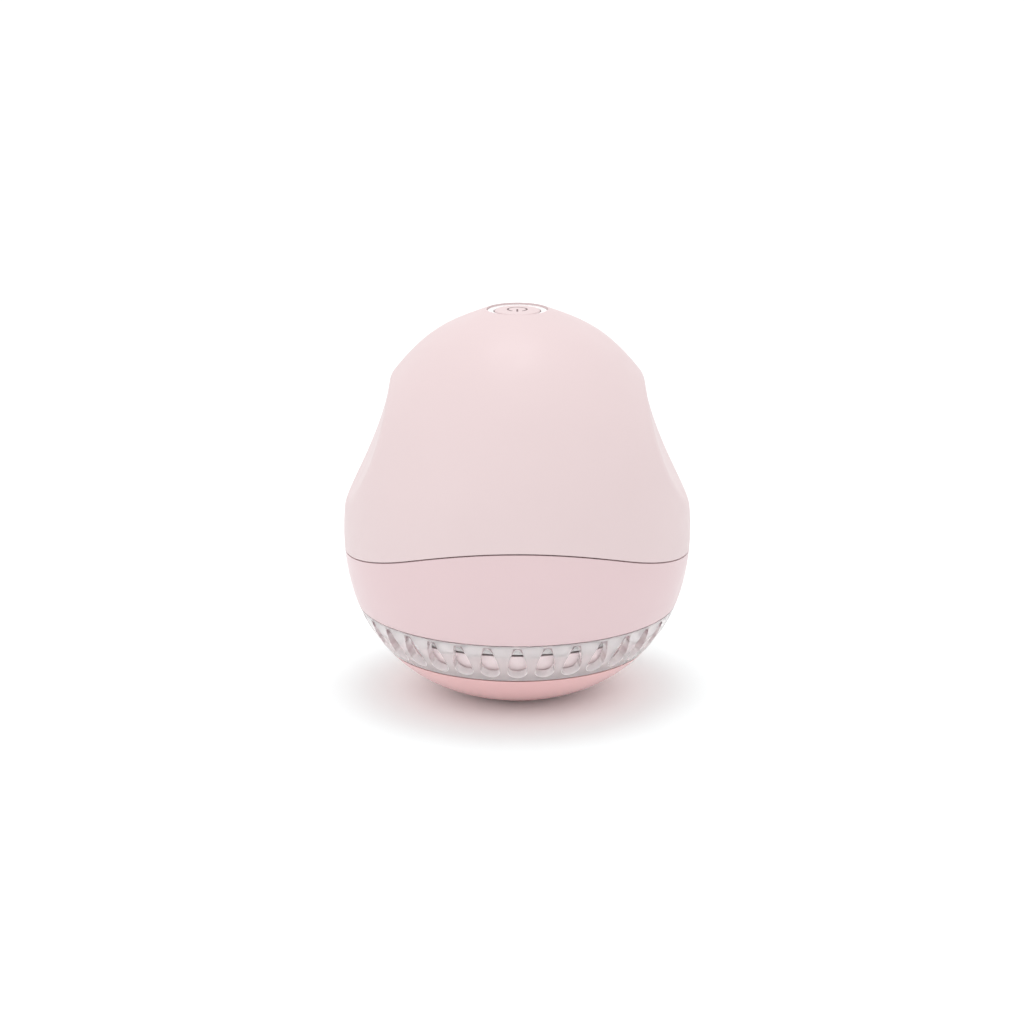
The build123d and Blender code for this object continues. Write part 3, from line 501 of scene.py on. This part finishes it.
def model_foil(foil):
    """Perforated foil with a plain rim, in the place of the coarse CAD foil."""
    middle = (FOIL_LOW.z + FOIL_HIGH.z) / 2
    across = int(2 * WINDOW_R / foil.pitch) + 3
    rows = int(WINDOW_R / (foil.pitch * math.sqrt(3) / 2)) + 2
    sheet = foil_cell(foil.pitch, foil.hole, middle)
    steps = (
        ("Across", across, (foil.pitch, 0, 0)),
        ("Along", rows, (0, foil.pitch * math.sqrt(3), 0)),
    )
    for name, count, step in steps:
        apply_modifier(
            sheet, name, "ARRAY", count=count, use_relative_offset=False,
            use_constant_offset=True, constant_offset_displace=step, use_merge_vertices=False,
        )
    middle_x = foil.pitch * round((across - 1) / 2)
    middle_y = foil.pitch * math.sqrt(3) * round((rows - 1) / 2)
    bpy.ops.object.mode_set(mode="EDIT")
    bpy.ops.mesh.select_all(action="SELECT")
    bpy.ops.transform.translate(value=(-middle_x, -middle_y, 0))
    bpy.ops.mesh.remove_doubles(threshold=0.004 * MM)
    bpy.ops.object.mode_set(mode="OBJECT")
    edge = WINDOW_R + 0.8 * MM
    pick(sheet.data, "polygons", lambda face: face.center.xy.length > edge)
    bpy.ops.object.mode_set(mode="EDIT")
    bpy.ops.mesh.delete(type="FACE")
    bpy.ops.mesh.select_all(action="SELECT")
    bpy.ops.mesh.normals_make_consistent(inside=False)
    bpy.ops.object.mode_set(mode="OBJECT")
    apply_modifier(sheet, "Thickness", "SOLIDIFY", thickness=foil.sheet, offset=0)

    nothing_selected()
    bpy.ops.mesh.primitive_circle_add(
        vertices=foil.rim_sides, radius=WINDOW_R, fill_type="NOTHING",
        location=(0, 0, middle),
    )
    rim = bpy.context.object
    bpy.ops.object.transform_apply(location=True, rotation=True, scale=True)
    bpy.ops.object.mode_set(mode="EDIT")
    bpy.ops.mesh.select_all(action="SELECT")
    bpy.ops.mesh.extrude_edges_move()
    wider = FOIL_HIGH.x / WINDOW_R
    bpy.ops.transform.resize(value=(wider, wider, 1))
    bpy.ops.mesh.select_all(action="SELECT")
    bpy.ops.mesh.normals_make_consistent(inside=False)
    bpy.ops.object.mode_set(mode="OBJECT")
    apply_modifier(rim, "Thickness", "SOLIDIFY", thickness=FOIL_HIGH.z - FOIL_LOW.z, offset=0)
    apply_modifier(rim, "Edge", "BEVEL", width=0.05 * MM, segments=2, limit_method="ANGLE")
    nothing_selected()
    sheet.select_set(True)
    rim.select_set(True)
    bpy.context.view_layer.objects.active = sheet
    bpy.ops.object.join()
    bpy.ops.object.shade_smooth_by_angle(angle=math.radians(40))
    sheet.name = "perforated_foil"
    return sheet


class SHAVER_OT_foil(bpy.types.Operator):
    """Perforated shaving foil with its rim"""

    bl_idname = "shaver.foil"
    bl_label = "Shaving Foil"

    def execute(self, context):
        foil = model_foil(settings_of(context)[1])
        steel = metal("foil_steel", (0.66, 0.66, 0.67), 0.22, stretch=(8, 1, 1))
        foil.data.materials.clear()
        foil.data.materials.append(steel)
        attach(foil, "shaving_head")
        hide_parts("shaving_foil")
        return {"FINISHED"}


class SHAVER_OT_cutter(bpy.types.Operator):
    """Ground blades and shaft, and the white carrier"""

    bl_idname = "shaver.cutter"
    bl_label = "Cutter"

    def execute(self, context):
        look = settings_of(context)[0]
        dress(metal("ground_blades", (0.62, 0.63, 0.65), 0.2, stretch=(1, 1, 10)), "cutter_blades")
        dress(metal("ground_shaft", (0.60, 0.61, 0.63), 0.18, stretch=(1, 1, 8)), "motor_shaft")
        dress(moulded("white_carrier", look.white, 0.42, tone=0.02), "blade_carrier")
        return {"FINISHED"}


# ---------------------------------------------------------------- inside


class SHAVER_OT_bowl(bpy.types.Operator):
    """Milky lint cup and the rubber seals"""

    bl_idname = "shaver.bowl"
    bl_label = "Lint Cup and Seals"

    def execute(self, context):
        look = settings_of(context)[0]
        dress(milky_moulding("milky_lint_cup", look.milky, 0.3, 0.08), "lint_cup")
        rubber = moulded(
            "grey_rubber", (0.055, 0.052, 0.055), 0.62, tone=0.12, depth=0.008 * MM
        )
        dress(rubber, "bowl_seal", "motor_damper", "shaft_seal")
        return {"FINISHED"}


class SHAVER_OT_chassis(bpy.types.Operator):
    """White chassis, motor housing and battery holder with their screws"""

    bl_idname = "shaver.chassis"
    bl_label = "Chassis"

    def execute(self, context):
        look = settings_of(context)[0]
        white = moulded("white_chassis", look.white, 0.45, tone=0.02, depth=0.005 * MM)
        dress(white, "chassis", "motor_housing", "battery_holder")
        zinc = metal("zinc_screws", (0.55, 0.56, 0.58), 0.32, size=0.4 * MM)
        dress(
            zinc, "chassis_screws", "housing_screws", "main_board_screws", "socket_board_screws"
        )
        return {"FINISHED"}


class SHAVER_OT_motor(bpy.types.Operator):
    """Plated can, magnets, laminated rotor, commutator and terminals"""

    bl_idname = "shaver.motor"
    bl_label = "Motor"

    def execute(self, context):
        dress(metal("plated_can", (0.58, 0.59, 0.60), 0.3, stretch=(1, 1, 6)), "motor_can")
        ferrite = moulded("ferrite_magnets", (0.05, 0.05, 0.052), 0.55, tone=0.15, grain=0.2 * MM)
        dress(ferrite, "motor_magnets")
        dress(laminated("rotor_sheets", (0.34, 0.33, 0.33), 0.35 * MM), "rotor_core")
        dress(metal("bare_copper", (0.72, 0.36, 0.20), 0.3, stretch=(1, 1, 5)), "commutator")
        dress(metal("plain_brass", (0.74, 0.56, 0.30), 0.3), "motor_terminals", "motor_bush")
        black = moulded("black_end_bell", (0.02, 0.02, 0.022), 0.5, tone=0.15)
        dress(black, "motor_end_bell")
        return {"FINISHED"}


class SHAVER_OT_battery(bpy.types.Operator):
    """Sleeved cell, nickel tabs and the insulated leads"""

    bl_idname = "shaver.battery"
    bl_label = "Battery and Leads"

    def execute(self, context):
        dress(sleeve("cell_sleeve", (0.06, 0.16, 0.42), (0.75, 0.76, 0.78)), "battery_cell")
        dress(metal("nickel_strip", (0.68, 0.66, 0.62), 0.28, stretch=(1, 1, 6)), "battery_tabs")
        leads = {
            "positive": (0.45, 0.012, 0.01), "negative": (0.012, 0.012, 0.014),
        }
        for pole, colour in leads.items():
            jacket = moulded(f"lead_{pole}", colour, 0.34, tone=0.08, grain=0.5 * MM)
            dress(jacket, f"motor_lead_{pole}", f"battery_lead_{pole}")
        dress(moulded("lead_white", (0.75, 0.74, 0.70), 0.34, tone=0.04), "charging_lead")
        return {"FINISHED"}


class SHAVER_OT_boards(bpy.types.Operator):
    """Circuit boards with their chips, lamps, switch and charging socket"""

    bl_idname = "shaver.boards"
    bl_label = "Boards"

    def execute(self, context):
        dress(board_mask("solder_mask", (0.012, 0.085, 0.04)), "main_board", "socket_board")
        dress(moulded("black_epoxy", (0.018, 0.018, 0.02), 0.42), "board_chips", "tact_switch")
        dress(milky_moulding("lamp_epoxy", (0.92, 0.91, 0.84), 0.15, 0.3), "ring_leds")
        drawn = metal("drawn_socket", (0.64, 0.64, 0.66), 0.24, stretch=(1, 8, 1))
        dress(drawn, "charging_socket")
        return {"FINISHED"}


# ---------------------------------------------------------------- stage


def soft_light(name, place, aim, size, power):
    """A round soft light turned towards a point."""
    lamp = bpy.data.lights.new(name, "AREA")
    lamp.shape = "DISK"
    lamp.size = size
    lamp.energy = power
    light = bpy.data.objects.new(name, lamp)
    bpy.context.scene.collection.objects.link(light)
    light.location = place
    towards = [a - b for a, b in zip(aim, place)]
    light.rotation_euler = Vector(towards).to_track_quat("-Z", "Y").to_euler()
    return light


class SHAVER_OT_stage(bpy.types.Operator):
    """Pale floor, even white light, two soft lights and the camera"""

    bl_idname = "shaver.stage"
    bl_label = "Stage"

    def execute(self, context):
        stage = settings_of(context)[2]
        scene = context.scene
        nothing_selected()
        bpy.ops.mesh.primitive_circle_add(
            vertices=96, radius=stage.floor_radius, fill_type="NGON", location=(0, 0, 0)
        )
        floor = context.object
        floor.name = "studio_floor"
        white, tree, shader = plain_material("studio_paper", 0.9)
        paper = spread(tree, speckle(tree, 0.5), 0, 1)
        tinted = blend_colours(tree, paper, (0.925, 0.965, 0.965), (0.935, 0.975, 0.975))
        tree.links.new(tinted, shader.inputs["Base Color"])
        shader.inputs["Specular IOR Level"].default_value = 0.1
        floor.data.materials.append(white)

        world = bpy.data.worlds.new("studio_sky")
        world.use_nodes = True
        sky = world.node_tree.nodes["Background"]
        sky.inputs["Color"].default_value = (1, 1, 1, 1)
        sky.inputs["Strength"].default_value = stage.sky
        scene.world = world

        centre = (0, 0, 0.045)
        soft_light("top_light", (0.0, 0.03, 0.75), centre, 0.36, stage.top_power)
        soft_light("side_light", (-0.75, -0.55, 0.35), centre, 0.5, stage.side_power)

        lens = bpy.data.cameras.new("studio_camera")
        lens.lens = stage.lens
        lens.sensor_width = 36
        lens.clip_start = 0.01
        lens.clip_end = 30
        camera = bpy.data.objects.new("studio_camera", lens)
        scene.collection.objects.link(camera)
        camera.location = stage.camera_place
        camera.rotation_euler = (math.pi / 2 - stage.camera_tilt, 0, 0)
        scene.camera = camera
        scene.view_settings.view_transform = "Standard"
        return {"FINISHED"}


# ---------------------------------------------------------------- add-on

STEPS = (
    SHAVER_OT_casing, SHAVER_OT_button, SHAVER_OT_head, SHAVER_OT_foil, SHAVER_OT_cutter,
    SHAVER_OT_bowl, SHAVER_OT_chassis, SHAVER_OT_motor, SHAVER_OT_battery, SHAVER_OT_boards,
    SHAVER_OT_stage,
)


class SHAVER_PT_panel(bpy.types.Panel):
    """Lists the steps and the settings."""

    bl_label = "Fabric Shaver"
    bl_idname = "SHAVER_PT_panel"
    bl_space_type = "VIEW_3D"
    bl_region_type = "UI"
    bl_category = "Fabric Shaver"

    def draw(self, context):
        column = self.layout.column(align=True)
        for step in STEPS:
            column.operator(step.bl_idname)
        for group in settings_of(context):
            box = self.layout.box()
            for name in group.bl_rna.properties.keys():
                if name not in ("rna_type", "name"):
                    box.prop(group, name)


GROUPS = {
    "shaver_plastics": ShaverPlastics, "shaver_foil": ShaverFoil, "shaver_stage": ShaverStage,
}


def register():
    """Registers the settings, the steps and the panel."""
    for name, group in GROUPS.items():
        bpy.utils.register_class(group)
        setattr(bpy.types.Scene, name, PointerProperty(type=group))
    for cls in (*STEPS, SHAVER_PT_panel):
        bpy.utils.register_class(cls)


def unregister():
    """Takes the add-on out again."""
    for cls in reversed((*STEPS, SHAVER_PT_panel)):
        bpy.utils.unregister_class(cls)
    for name, group in reversed(GROUPS.items()):
        delattr(bpy.types.Scene, name)
        bpy.utils.unregister_class(group)


def main():
    """Registers the add-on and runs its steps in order."""
    register()
    for step in STEPS:
        group, name = step.bl_idname.split(".")
        getattr(getattr(bpy.ops, group), name)()


if __name__ == "__main__":
    main()
